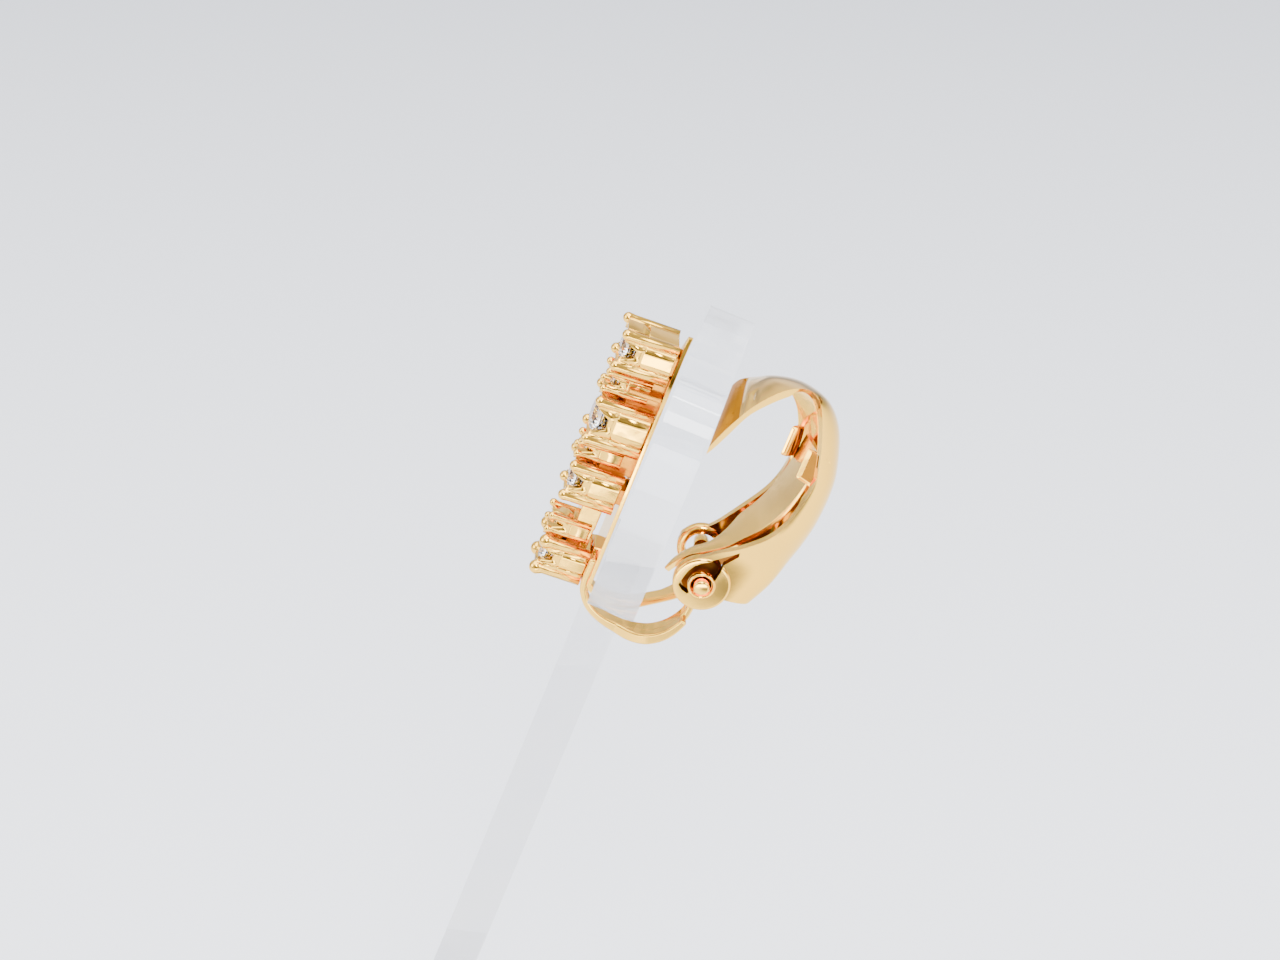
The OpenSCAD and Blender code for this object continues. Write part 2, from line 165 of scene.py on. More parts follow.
# Opening in the near cheek above its collar: back, up.
CHEEK_OPENING = [
    (-1.30, -0.45),
    (-1.20, 0.15),
    (-1.06, 0.66),
    (-0.84, 1.05),
    (-0.48, 1.38),
    (0.00, 1.66),
    (0.52, 2.08),
    (1.40, 2.80),
    (1.44, 2.50),
    (0.80, 1.66),
    (0.78, 1.27),
    (0.66, 0.50),
    (0.00, 0.00),
    (-0.62, -0.85),
    (-1.00, -0.72),
]

# Spring: back, up, middle, half width, near edge's shift back and up.
SPRING = [
    (-2.08, -0.38, 1.40, 0.12, 0.00, 0.00),
    (-1.80, 0.25, 1.38, 0.36, 0.00, 0.00),
    (-1.15, 1.10, 1.32, 0.48, 0.00, 0.00),
    (-0.10, 1.82, 1.18, 0.64, 0.00, 0.00),
    (0.75, 2.48, 0.70, 1.12, 0.03, 0.00),
    (1.45, 3.30, 0.15, 1.62, 0.08, 0.02),
    (2.30, 4.50, 0.00, 1.85, 0.15, 0.05),
    (3.00, 6.30, 0.00, 2.05, 0.22, 0.15),
    (3.42, 8.30, 0.00, 2.00, 0.28, 0.25),
    (3.44, 9.40, 0.00, 1.80, 0.24, 0.28),
    (3.38, 10.00, 0.00, 1.50, 0.18, 0.25),
]

# Lugs bent inward from the paddle's rims: outer x, outer back, inner x, inner back, low, high.
LUGS = {
    "near": (2.62, 3.75, 1.90, 2.75, 8.3, 10.4),
    "far": (-2.62, 2.90, -1.90, 2.10, 7.7, 9.8),
}

# Rows worked out between two stations, and steps across the paddle.
STEPS = 6
STRIP_STEPS = 8
ACROSS = 40


# Camera at the photo's angle: its bearing and height round the aim in degrees, its distance from the
# aim in millimetres, and the aim's place right of and above the hinge pin in the frame.
CAMERA_BEARING = 9.3
CAMERA_HEIGHT = 23.3
CAMERA_AWAY = 200
AIM_RIGHT = -3.72
AIM_UP = 5.09
LENS = 92.8
SENSOR = 36


def make_camera():
    bearing = math.radians(CAMERA_BEARING)
    height = math.radians(CAMERA_HEIGHT)
    right = Vector((-math.sin(bearing), math.cos(bearing), 0))
    level = Vector((math.cos(bearing), math.sin(bearing), 0))
    back = level * math.cos(height) + Vector((0, 0, math.sin(height)))
    up = back.cross(right)
    aim = HINGE.translation + AIM_RIGHT * right + AIM_UP * up
    data = bpy.data.cameras.new("camera")
    data.sensor_width = SENSOR
    data.lens = LENS
    data.clip_start = 0.01
    data.clip_end = 10
    camera = bpy.data.objects.new("camera", data)
    turn = Matrix((right, up, back)).transposed().to_4x4()
    camera.matrix_world = Matrix.Translation((aim + CAMERA_AWAY * back) * MM) @ turn
    bpy.context.collection.objects.link(camera)
    bpy.context.scene.camera = camera


make_camera()


# Node helpers for the materials and the world
def feed(tree, value, socket):
    """Links another node's output to the socket, or sets the socket to a plain value."""
    if isinstance(value, bpy.types.NodeSocket):
        tree.links.new(value, socket)
    else:
        socket.default_value = value


def add_noise(tree, coords, scale, detail):
    noise = tree.nodes.new("ShaderNodeTexNoise")
    noise.inputs["Scale"].default_value = scale
    noise.inputs["Detail"].default_value = detail
    tree.links.new(coords, noise.inputs["Vector"])
    return noise.outputs["Fac"]


def add_mix(tree, factor, first, second, blend="MIX"):
    mix = tree.nodes.new("ShaderNodeMixRGB")
    mix.blend_type = blend
    for value, socket in zip((factor, first, second), mix.inputs):
        feed(tree, value, socket)
    return mix.outputs[0]


def add_range(tree, source, low=0.0, high=1.0, to_low=0.0, to_high=1.0, kind="LINEAR"):
    span = tree.nodes.new("ShaderNodeMapRange")
    span.interpolation_type = kind
    span.inputs["From Min"].default_value = low
    span.inputs["From Max"].default_value = high
    span.inputs["To Min"].default_value = to_low
    span.inputs["To Max"].default_value = to_high
    tree.links.new(source, span.inputs["Value"])
    return span.outputs[0]


def add_bump(tree, height, strength, distance):
    bump = tree.nodes.new("ShaderNodeBump")
    bump.inputs["Strength"].default_value = strength
    bump.inputs["Distance"].default_value = distance
    tree.links.new(height, bump.inputs["Height"])
    return bump


def add_vector_math(tree, operation, coords, value):
    node = tree.nodes.new("ShaderNodeVectorMath")
    node.operation = operation
    node.inputs[1].default_value = value
    tree.links.new(coords, node.inputs[0])
    return node.outputs["Value"]


def new_material(name):
    material = bpy.data.materials.new(name)
    material.use_nodes = True
    tree = material.node_tree
    return material, tree, tree.nodes["Principled BSDF"]


# Scales of the noises in the gold, per metre, and the heights of their bumps in metres.
PATCH_SCALE = 350
GRAIN_SCALE = 2500
PATCH_BUMP = 0.0001
GRAIN_BUMP = 0.00003


def gold(name, color=(0.96, 0.56, 0.075), rough=0.08, grain=0.05, wave=0.12, edge=(1, 1, 1)):
    """Gold plate with slight patches of tint, a fine grain and a soft wave. edge tints grazing light."""
    material, tree, shader = new_material(name)
    shader.inputs["Metallic"].default_value = 1
    shader.inputs["Specular Tint"].default_value = (*edge, 1)
    coords = tree.nodes.new("ShaderNodeTexCoord").outputs["Object"]
    patch = add_noise(tree, coords, PATCH_SCALE, 3)
    fine = add_noise(tree, coords, GRAIN_SCALE, 4)
    warmer = (color[0], color[1] * 0.95, color[2] * 0.88, 1)
    tree.links.new(add_mix(tree, patch, (*color, 1), warmer), shader.inputs["Base Color"])
    spread = add_range(tree, fine, to_low=rough * 0.8, to_high=rough * 1.35)
    tree.links.new(spread, shader.inputs["Roughness"])
    small = add_bump(tree, fine, grain, GRAIN_BUMP)
    large = add_bump(tree, patch, wave, PATCH_BUMP)
    tree.links.new(small.outputs[0], large.inputs["Normal"])
    tree.links.new(large.outputs[0], shader.inputs["Normal"])
    return material


def clear(name, ior, color, rough, tint_scale, alpha=1, coat=0, vary=0.97):
    """Clear stone or plastic whose tint and roughness vary a little. vary is the second tint's share."""
    material, tree, shader = new_material(name)
    shader.inputs["IOR"].default_value = ior
    shader.inputs["Transmission Weight"].default_value = 1
    shader.inputs["Alpha"].default_value = alpha
    shader.inputs["Coat Weight"].default_value = coat
    coords = tree.nodes.new("ShaderNodeTexCoord").outputs["Object"]
    patch = add_noise(tree, coords, tint_scale, 2)
    second = (color[0] * vary, color[1] * (0.2 + 0.8 * vary), color[2], 1)
    tree.links.new(add_mix(tree, patch, (*color, 1), second), shader.inputs["Base Color"])
    if rough:
        spread = add_range(tree, patch, to_low=rough * 0.5, to_high=rough * 1.5)
        tree.links.new(spread, shader.inputs["Roughness"])
    else:
        shader.inputs["Roughness"].default_value = 0
    return material


GOLD = gold("gold_polished")
GOLD_WALL = gold("gold_walls", rough=0.11, grain=0.08, wave=0.6)
GOLD_SPRING = gold("gold_spring", (1.0, 0.60, 0.10), rough=0.16)
# Painted shade: a darker orange-brown gold for recesses, the pad's tip, the lugs' sunk faces and unlit
# bars.
GOLD_PAINTED_SHADE = gold("gold_painted_shade", (0.50, 0.21, 0.02), 0.28, 0.12, 0.4, edge=(1.0, 0.7, 0.4))
# Painted shadow: a near black-brown gold for the eyes, the heel's lining and the walls of cuts.
GOLD_PAINTED_SHADOW = gold("gold_shadow", (0.17, 0.065, 0.012), 0.35, 0.12, 0.4, edge=(0.8, 0.45, 0.2))
STONE = clear("cut_stone", 2.0, (1, 1, 1), 0.0, 400)
PLASTIC_IOR = 1.49
ACRYLIC = clear("clear_acrylic", PLASTIC_IOR, (0.97, 0.985, 1.0), 0.01, 120, alpha=0.6, coat=1)
ACRYLIC_STEM = clear("clear_acrylic_stem", PLASTIC_IOR, (0.80, 0.77, 0.69), 0.02, 350, alpha=0.6, coat=1,
                     vary=0.78)

# Slots of a polished piece for faces painted in shade: the first holds the painted shade of recesses, the
# second the darker painted shadow.
SHADE_SLOT = 1
SHADOW_SLOT = 2


# Mesh helpers
def smooth_rows(table, steps):
    """Rows on a Catmull-Rom curve through the table's rows."""
    out = []
    last = len(table) - 1
    for i in range(last):
        before, here, there, after = (table[max(0, i - 1)], table[i], table[i + 1], table[min(last, i + 2)])
        for k in range(steps):
            t = k / steps
            out.append(tuple(
                0.5 * (2 * q + (r - p) * t + (2 * p - 5 * q + 4 * r - s) * t * t
                       + (3 * q - p - 3 * r + s) * t * t * t)
                for p, q, r, s in zip(before, here, there, after)
            ))
    out.append(tuple(table[last]))
    return out


def row_normal(rows, i):
    """Unit normal of a side view at one row, whose first two columns are back and up."""
    a, b = rows[max(0, i - 1)], rows[min(len(rows) - 1, i + 1)]
    along = Vector((b[0] - a[0], b[1] - a[1])).normalized()
    return Vector((-along.y, along.x))


def circle(radius, n=48):
    angles = [k * 2 * math.pi / n for k in range(n)]
    return [(radius * math.cos(a), radius * math.sin(a)) for a in angles]


def add_ring(bm, points):
    return [bm.verts.new(p) for p in points]


def bridge(bm, a, b):
    n = len(a)
    for i in range(n):
        j = (i + 1) % n
        bm.faces.new((a[i], a[j], b[j], b[i]))


def add_loft(bm, rings):
    """Closed solid through rings of points."""
    loops = [add_ring(bm, ring) for ring in rings]
    for a, b in zip(loops, loops[1:]):
        bridge(bm, a, b)
    bm.faces.new(loops[0])
    bm.faces.new(list(reversed(loops[-1])))


def add_lathe(bm, profile, at=(0, 0, 0), axis="z", n=32):
    """profile rows are radius and height; a radius of 0 closes that end."""
    def put(r, h, angle):
        c, s = r * math.cos(angle), r * math.sin(angle)
        p = {"z": (c, s, h), "x": (h, c, s)}[axis]
        return tuple(p[k] + at[k] for k in range(3))

    loops = []
    for r, h in profile:
        if r < 1e-6:
            loops.append([bm.verts.new(put(0, h, 0))])
        else:
            loops.append([bm.verts.new(put(r, h, 2 * math.pi * i / n)) for i in range(n)])
    for a, b in zip(loops, loops[1:]):
        if len(a) == len(b) == n:
            bridge(bm, a, b)
        elif len(a) == n:
            for i in range(n):
                bm.faces.new((a[i], a[(i + 1) % n], b[0]))
        elif len(b) == n:
            for i in range(n):
                bm.faces.new((a[0], b[(i + 1) % n], b[i]))


def slab_cutter(outline, x0, x1):
    """Slab across the clip between two sideways places, from an outline of back and up. Its faces carry the
    painted-shadow slot, so the walls it leaves in a cut are painted in shadow.
    """
    bm = bmesh.new()
    add_loft(bm, [[(x, back, up) for back, up in outline] for x in (x0, x1)])
    for face in bm.faces:
        # The cut walls are painted in shadow.
        face.material_index = SHADOW_SLOT
    bmesh.ops.recalc_face_normals(bm, faces=bm.faces)
    bm.transform(CLIP_FRAME)
    return bm


def carve(piece, cutters):
    """Cuts closed shapes out of a piece and keeps only the result."""
    tools = []
    for cutter in cutters:
        mesh = bpy.data.meshes.new("cut")
        cutter.to_mesh(mesh)
        cutter.free()
        for material in piece.data.materials:
            mesh.materials.append(material)
        tool = bpy.data.objects.new("cut", mesh)
        bpy.context.collection.objects.link(tool)
        mod = piece.modifiers.new("cut", "BOOLEAN")
        mod.operation = "DIFFERENCE"
        mod.solver = "EXACT"
        mod.object = tool
        tools.append(tool)
    graph = bpy.context.evaluated_depsgraph_get()
    result = bpy.data.meshes.new_from_object(piece.evaluated_get(graph))
    piece.modifiers.clear()
    piece.data = result
    for tool in tools:
        bpy.data.objects.remove(tool)


def add_bevel(piece, width, segments, angle):
    mod = piece.modifiers.new("edge", "BEVEL")
    mod.width = width * MM
    mod.segments = segments
    mod.limit_method = "ANGLE"
    mod.angle_limit = math.radians(angle)
    return mod


def finish_mesh(bm, name, matrix, body, material, bevel=0.0, angle=35, segments=2, cutters=()):
    """Turns a mesh drawn in millimetres into a gold piece on its body."""
    bmesh.ops.remove_doubles(bm, verts=bm.verts, dist=1e-5)
    bmesh.ops.recalc_face_normals(bm, faces=bm.faces)
    for face in bm.faces:
        face.smooth = True
    bm.transform(matrix)
    mesh = bpy.data.meshes.new(name)
    bm.to_mesh(mesh)
    bm.free()
    # A polished piece also carries the painted-shade and painted-shadow golds.
    for used in (GOLD, GOLD_PAINTED_SHADE, GOLD_PAINTED_SHADOW) if material is GOLD else (material,):
        mesh.materials.append(used)
    piece = bpy.data.objects.new(name, mesh)
    bpy.context.collection.objects.link(piece)
    if cutters:
        carve(piece, cutters)
    if bevel:
        add_bevel(piece, bevel, segments, angle).harden_normals = True
    else:
        piece.modifiers.new("normals", "WEIGHTED_NORMAL").keep_sharp = True
    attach(piece, body)
    return piece


# Two scored lines across the pad: row of the paddle and the column where the line ends. A line starts
# at column 2, and its depth is a share of the sheet. The pad's tip begins at the first line.
SCORES = ((69, 34), (66, 16))
SCORE_DEPTH = 0.3
# The pad's tip, from this row on, is painted in shade.
TIP_ROW = 69
# Rows of the heel whose lining lies in shadow.
HEEL_ROWS = 10
# Slits at the near rim: sideways places of their two faces, and their outline back and up.
SLITS = (
    (2.60, 2.78, [(3.3, 9.7), (3.9, 9.7), (3.9, 10.5), (3.3, 10.5)]),
    (2.58, 2.76, [(1.5, 13.3), (2.3, 13.3), (2.3, 13.9), (1.5, 14.2)]),
)
# Sideways places between which a cutter reaches through the sheet at a cheek, and through the near
# lobe, and the radii of the round holes.
CUT_IN = 1.5
CUT_OUT = 3.0
LOBE_CUT_IN = 1.9
LOBE_CUT_OUT = 2.9
NEAR_HOLE_R = 0.6
FAR_HOLE_R = 1.0


def station(row, inside):
    """Points across one paddle station, from the near rim over the crest to the far rim."""
    near, far, crest = Vector(row[0:2]), Vector(row[2:4]), Vector(row[4:6])
    half, box_across, box_crest = row[6:9]
    lift = crest - (near + far) / 2
    rise = lift.length
    flat = []
    for j in range(ACROSS + 1):
        angle = math.pi * j / ACROSS
        c, s = math.cos(angle), max(0.0, math.sin(angle))
        across = half * math.copysign(abs(c) ** (2 / box_across), c)
        flat.append(Vector((across, rise * s ** (2 / box_crest))))
    out = []
    for j in range(ACROSS + 1):
        p = flat[j]
        if inside:
            along = (flat[min(ACROSS, j + 1)] - flat[max(0, j - 1)]).normalized()
            p = p + Vector((-along.y, along.x)) * SHEET_T
        share = (1 - p.x / half) / 2
        base = near + (far - near) * share + lift / rise * p.y
        out.append((p.x, base.x, base.y))
    return out


def make_skin():
    """The paddle's sheet, with its scored lines, and cut through at both cheeks and at the slits."""
    rows = smooth_rows(PADDLE, STEPS)
    bm = bmesh.new()
    outer = [add_ring(bm, station(row, False)) for row in rows]
    inner = [add_ring(bm, station(row, True)) for row in rows]
    for i, end in SCORES:
        for j in range(2, end):
            outer[i][j].co += (inner[i][j].co - outer[i][j].co) * SCORE_DEPTH
    last = len(rows) - 1
    for i in range(last):
        o0, o1, i0, i1 = outer[i], outer[i + 1], inner[i], inner[i + 1]
        for j in range(ACROSS):
            skin = bm.faces.new((o0[j], o1[j], o1[j + 1], o0[j + 1]))
            # The pad's tip is painted in shade.
            if i >= TIP_ROW and 1 < j < ACROSS - 2:
                skin.material_index = SHADE_SLOT
            lining = bm.faces.new((i0[j], i0[j + 1], i1[j + 1], i1[j]))
            if i < HEEL_ROWS:
                lining.material_index = SHADOW_SLOT
        bm.faces.new((o0[0], i0[0], i1[0], o1[0]))
        bm.faces.new((o0[ACROSS], o1[ACROSS], i1[ACROSS], i0[ACROSS]))
    for j in range(ACROSS):
        bm.faces.new((outer[0][j], outer[0][j + 1], inner[0][j + 1], inner[0][j]))
        bm.faces.new((outer[last][j], inner[last][j], inner[last][j + 1], outer[last][j + 1]))
    cutters = [
        slab_cutter(CHEEK_OPENING, CUT_IN, CUT_OUT),
        slab_cutter(circle(NEAR_HOLE_R), CUT_IN, CUT_OUT),
        slab_cutter(circle(FAR_HOLE_R), -CUT_OUT, -CUT_IN),
    ]
    cutters += [slab_cutter(outline, x0, x1) for x0, x1, outline in SLITS]
    skin = finish_mesh(bm, "paddle_skin", CLIP_FRAME, CLIP, GOLD, bevel=0.06, angle=45, cutters=cutters)
    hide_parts("paddle")


# Turned parts on the hinge pin: radius, place across the clip.
NEAR_LOBE = [
    (NEAR_HOLE_R, CHEEK_IN),
    (1.75, CHEEK_IN),
    (1.75, 2.58),
    (1.72, 2.65),
    (1.66, 2.69),
    (1.58, CHEEK_OUT),
    (NEAR_HOLE_R, CHEEK_OUT),
    (NEAR_HOLE_R, CHEEK_IN),
]
COLLAR = [
    (0.53, 2.10),
    (0.83, 2.10),
    (0.85, 2.14),
    (0.85, 2.84),
    (0.83, 2.90),
    (0.78, 2.93),
    (0.72, 2.92),
    (0.66, 2.84),
    (0.62, 2.66),
    (0.53, 2.60),
    (0.53, 2.10),
]
FAR_LOBE = [
    (FAR_HOLE_R, -CHEEK_IN),
    (1.50, -CHEEK_IN),
    (1.50, -2.60),
    (1.47, -2.66),
    (1.40, -CHEEK_OUT),
    (1.06, -CHEEK_OUT),
    (FAR_HOLE_R, -2.64),
    (FAR_HOLE_R, -CHEEK_IN),
]


def make_cheeks():
    """Near cheek with the pointed opening, its collar, and the far cheek with its plain hole."""
    bm = bmesh.new()
    add_lathe(bm, NEAR_LOBE, axis="x", n=96)
    opening = slab_cutter(CHEEK_OPENING, LOBE_CUT_IN, LOBE_CUT_OUT)
    finish_mesh(bm, "cheek_near", CLIP_FRAME, CLIP, GOLD, bevel=0.04, angle=45, cutters=[opening])
    for name, profile, sides in (("collar", COLLAR, 64), ("cheek_far", FAR_LOBE, 96)):
        bm = bmesh.new()
        add_lathe(bm, profile, axis="x", n=sides)
        finish_mesh(bm, name, CLIP_FRAME, CLIP, GOLD)


# Lugs: thickness at the inner and outer edge, and the sunk face's margin and depth.
LUG_IN_T = 0.45
LUG_OUT_T = 0.5
SUNK_MARGIN = 0.26
SUNK_DEPTH = 0.2


def make_lug(side):
    """Rounded plate with a sunk face painted in shade."""
    x0, q0, x1, q1, low, high = LUGS[side]
    outline = ((x0, q0), (x1, q1), (x1, q1 + LUG_IN_T), (x0, q0 + LUG_OUT_T))
    bm = bmesh.new()
    v = [bm.verts.new((x, q, p)) for p in (low, high) for x, q in outline]
    front = bm.faces.new((v[0], v[1], v[5], v[4]))
    for k in range(1, 4):
        j = (k + 1) % 4
        bm.faces.new((v[k], v[j], v[4 + j], v[4 + k]))
    bm.faces.new((v[3], v[2], v[1], v[0]))
    bm.faces.new((v[4], v[5], v[6], v[7]))
    bmesh.ops.recalc_face_normals(bm, faces=bm.faces)
    bmesh.ops.inset_individual(bm, faces=[front], thickness=SUNK_MARGIN, depth=-SUNK_DEPTH)
    # The sunk face is painted in shade.
    front.material_index = SHADE_SLOT
    finish_mesh(bm, f"lug_{side}", CLIP_FRAME, CLIP, GOLD, bevel=0.09, angle=30, segments=3)


def make_spring():
    """Spring strip, a little bowed across."""
    rows = smooth_rows(SPRING, STEPS)
    across = 8
    bow = 0.05
    rings = []
    for i, (q, p, mid, half, dq, dp) in enumerate(rows):
        normal = row_normal(rows, i)
        side = normal * (SPRING_T / 2)
        ring = []
        for face in (-1, 1):
            for k in range(across + 1):
                e = (-1 + 2 * k / across) * -face
                at = Vector((q, p)) + Vector((dq, dp)) * e + side * face + normal * (bow * (1 - e * e))
                ring.append((mid + e * half, at.x, at.y))
        rings.append(ring)
    bm = bmesh.new()
    add_loft(bm, rings)
    blade = finish_mesh(bm, "spring_blade", CLIP_FRAME, CLIP, GOLD_SPRING, bevel=0.05, angle=40)
    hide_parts("spring_strip")


# Baskets: gaps round the stone at the seat and in the bore, half width of the notch's floor as a share
# of the stone, and the least thickness of a wall.
SEAT_GAP = 0.09
BORE_GAP = 0.04
NOTCH_FOOT = 0.13
THIN_WALL = 0.05
# Half width of an engraved line, its depth for a full wire, the bevel at the foot, and the line round
# the walls: how far its edges and middle lie under the notch, and its depth.
LINE_HALF = 0.03
LINE_DEPTH = 0.08
FOOT_BEVEL = 0.08
ROUND_LINE = (0.52, 0.48, 0.44)
ROUND_DEPTH = 0.06


def both_ways(end, stops):
    """Stops along one side of a basket, from its first corner up to the next one."""
    return [-end] + [-u for u in reversed(stops)] + stops


def make_basket(number, row):
    """Walls are strips between the engraved outline and the bore, with a notch in each side wall."""
    p, wide, tall, dia, back, wall, mouth, wire, _ = row
    half_x, half_y = wide / 2 - WALL_IN * wire, tall / 2 - WALL_IN * wire
    seat = dia / 2 - (GIRDLE_Z - wall) / (2 * PAVILION_PART) + SEAT_GAP
    bore = dia / 2 + BORE_GAP
    top = wall + WALL_RISE
    foot = NOTCH_FOOT * dia
    groove = LINE_DEPTH * wire

    # A line on each half of a wall, where there is room for it in the notch.
    line = min(tall / 2 - 2 * PRONG_R * wire - WALL_IN, mouth - 0.05)
    lines = [line - LINE_HALF, line, line + LINE_HALF] if line - LINE_HALF > foot + 0.02 else []
    middle = 0.5 * half_x
    across = [(u, groove if abs(abs(u) - middle) < 1e-6 else 0.0)
              for u in both_ways(half_x, [middle - LINE_HALF, middle, middle + LINE_HALF])]
    along = [(u, groove if lines and abs(abs(u) - line) < 1e-6 else 0.0)
             for u in both_ways(half_y, [foot] + lines + [mouth])]
    outline = [(u, cut - half_y, False) for u, cut in across]
    outline += [(half_x - cut, u, True) for u, cut in along]
    outline += [(-u, half_y - cut, False) for u, cut in across]
    outline += [(cut - half_x, -u, True) for u, cut in along]

    def rim(y, notched):
        a = abs(y)
        if not notched or a >= mouth - 1e-9:
            return top
        if a <= foot + 1e-9:
            return wall
        return wall + WALL_RISE * (a - foot) / (mouth - foot)

    heights = [back, back + FOOT_BEVEL] + [wall - low for low in ROUND_LINE] + [wall]
    steps_in = [FOOT_BEVEL, 0.0, 0.0, ROUND_DEPTH, 0.0, 0.0]
    bm = bmesh.new()
    columns = []
    for x, y, notched in outline:
        end = rim(y, notched)
        raised = end > wall + 1e-6
        column = []
        for z, step in zip(heights, steps_in):
            sx = x - math.copysign(step, x) * notched
            sy = y - math.copysign(step, y) * (not notched)
            column.append(bm.verts.new((sx, p + sy, z)))
        column.append(bm.verts.new((x, p + y, end)) if raised else column[-1])
        turn = math.atan2(y, x)
        c, s = math.cos(turn), math.sin(turn)
        room_x = abs(half_x - THIN_WALL) / max(abs(c), 1e-6)
        room_y = abs(half_y - THIN_WALL) / max(abs(s), 1e-6)
        r = min(bore, room_x, room_y)
        bore_side = [bm.verts.new((r * c, p + r * s, z)) for z in ((end, wall) if raised else (wall,))]
        column += [bore_side[0], bore_side[-1]]
        column += [bm.verts.new((seat * c, p + seat * s, z)) for z in (wall, back)]
        columns.append(column)
    for a, b in zip(columns, columns[1:] + columns[:1]):
        n = len(a)
        for k in range(n):
            quad = [a[k], b[k], b[(k + 1) % n], a[(k + 1) % n]]
            corners = list(dict.fromkeys(quad))
            if len(corners) > 2:
                bm.faces.new(corners)
    return finish_mesh(bm, f"basket_{number}", FRONT_FRAME, ROOT, GOLD_WALL)


def make_prongs(number, row):
    """Four wires with rounded tips at a basket's corners."""
    p, wide, tall, _, back, _, _, wire, tip = row
    rad = PRONG_R * wire
    bead = BEAD_R * wire * tip
    h = TIP_Z - back
    profile = [(0, 0), (rad, 0), (rad, h - 2.0 * bead), ((rad + bead) / 2, h - 1.6 * bead)]
    under = 0.3
    steps = 9
    for k in range(steps):
        a = -under + (math.pi / 2 + under) * k / steps
        profile.append((bead * math.cos(a), h - bead + bead * math.sin(a)))
    profile.append((0, h))
    bm = bmesh.new()
    for sx in (-1, 1):
        for sy in (-1, 1):
            add_lathe(bm, profile, at=(sx * (wide / 2 - rad), p + sy * (tall / 2 - rad), back), n=24)
    finish_mesh(bm, f"prongs_{number}", FRONT_FRAME, ROOT, GOLD)


# Legs: name, table, side, inner edge of the wide wing, its first station, radius of the eye. The wing
# starts WING_START wide of the middle, widens over WING_GROW rows and ends at station WING_TO.
LEGS = (
    ("near", LEG_NEAR, 1, 1.0, 4, 1.25),
    ("far", LEG_FAR, -1, 1.3, 7, 0.62),
)
WING_START = 1.6
WING_GROW = 18
WING_TO = 10
WING_THINNER = 0.03


def make_bar(name, rows, first, end, thinner, width, side):
    """Part of a leg from one row to another. width gives its inner and outer place across at a row."""
    rings = []
    for i in range(first, end + 1):
        q, p, t = rows[i]
        s = row_normal(rows, i) * (t - thinner) / 2
        u0, u1 = (side * u for u in width(i - first))
        rings.append([(u0, q + s.x, p + s.y), (u1, q + s.x, p + s.y),
                      (u1, q - s.x, p - s.y), (u0, q - s.x, p - s.y)])
    bm = bmesh.new()
    add_loft(bm, rings)
    finish_mesh(bm, name, CLIP_FRAME, ROOT, GOLD, bevel=0.15, angle=40, segments=4)


def make_leg(name, table, side, wing_in, wing_from, eye_r):
    """A leg's bar between the cheeks, its wide wing below them, its pin and its eye."""
    rows = smooth_rows(table, STEPS)

    def wing_width(i):
        grow = min(1.0, i / WING_GROW)
        grow = grow * grow * (3 - 2 * grow)
        return wing_in, WING_START + (LEG_WIDE - WING_START) * grow

    make_bar(f"leg_{name}", rows, 0, len(rows) - 1, 0, lambda i: (LEG_IN, LEG_OUT), side)
    make_bar(f"wing_{name}", rows, STEPS * wing_from, STEPS * WING_TO, WING_THINNER, wing_width, side)
    # Profiles: radius, place across.
    pin = [(0, 1.5), (PIN_R, 1.5), (PIN_R, 3.10), (0.44, 3.17), (0.36, 3.2), (0, 3.17)]
    eye = [(0, LEG_IN), (eye_r - 0.05, LEG_IN), (eye_r, LEG_IN + 0.05),
           (eye_r, LEG_OUT - 0.05), (eye_r - 0.05, LEG_OUT), (0, LEG_OUT)]
    # The eyes are painted in shadow, so the near cheek's opening shows dark.
    for part, profile, material in (("pin", pin, GOLD), ("eye", eye, GOLD_PAINTED_SHADOW)):
        bm = bmesh.new()
        add_lathe(bm, [(r, side * h) for r, h in profile], axis="x", n=48)
        finish_mesh(bm, f"{part}_{name}", CLIP_FRAME, ROOT, material)


def make_gallery():
    for i, (half, low, high, back, front, lit) in enumerate(GALLERY):
        bm = bmesh.new()
        outline = [(-half, low), (half, low), (half, high), (-half, high)]
        add_loft(bm, [[(x, y, z) for x, y in outline] for z in (back, front)])
        # Bars where no light falls are painted in shade.
        material = GOLD_WALL if lit else GOLD_PAINTED_SHADE
        finish_mesh(bm, f"link_{i + 1}", FRONT_FRAME, ROOT, material, bevel=0.08, segments=3)


def make_base_strip():
    """Strip behind the baskets, pointed at its top. The edges of its back face curl forward a little."""
    front, back, curl = 6.28, 5.98, 0.05
    rings = []
    for p, half, bend in smooth_rows(STRIP, STRIP_STEPS):
        ring = [(half * k / 4, p, back - bend + curl * k * k / 16) for k in range(-4, 5)]
        ring += [(half * k / 4, p, front - bend) for k in range(4, -5, -1)]
        rings.append(ring)
    bm = bmesh.new()
    add_loft(bm, rings)
    finish_mesh(bm, "base_strip", FRONT_FRAME, ROOT, GOLD, bevel=0.05)


def make_solder_block():
    """Block that joins the legs to the base strip."""
    front, back, low, high, half = -6.62, -6.17, -2.95, -0.75, 0.9
    outline = ((front, low), (back, low), (back, high), (front, high))
    bm = bmesh.new()
    add_loft(bm, [[(x, q, p) for q, p in outline] for x in (-half, half)])
    finish_mesh(bm, "solder_block", CLIP_FRAME, ROOT, GOLD, bevel=0.1, segments=3)


def make_clip():
    make_skin()
    make_cheeks()
    for side in LUGS:
        make_lug(side)
    make_spring()


def make_front():
    for i, row in enumerate(SETTINGS):
        basket = make_basket(i + 1, row)
        if i == 0:
            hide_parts("setting")
        make_prongs(i + 1, row)
    make_gallery()
    make_base_strip()
    make_solder_block()
    for leg in LEGS:
        make_leg(*leg)


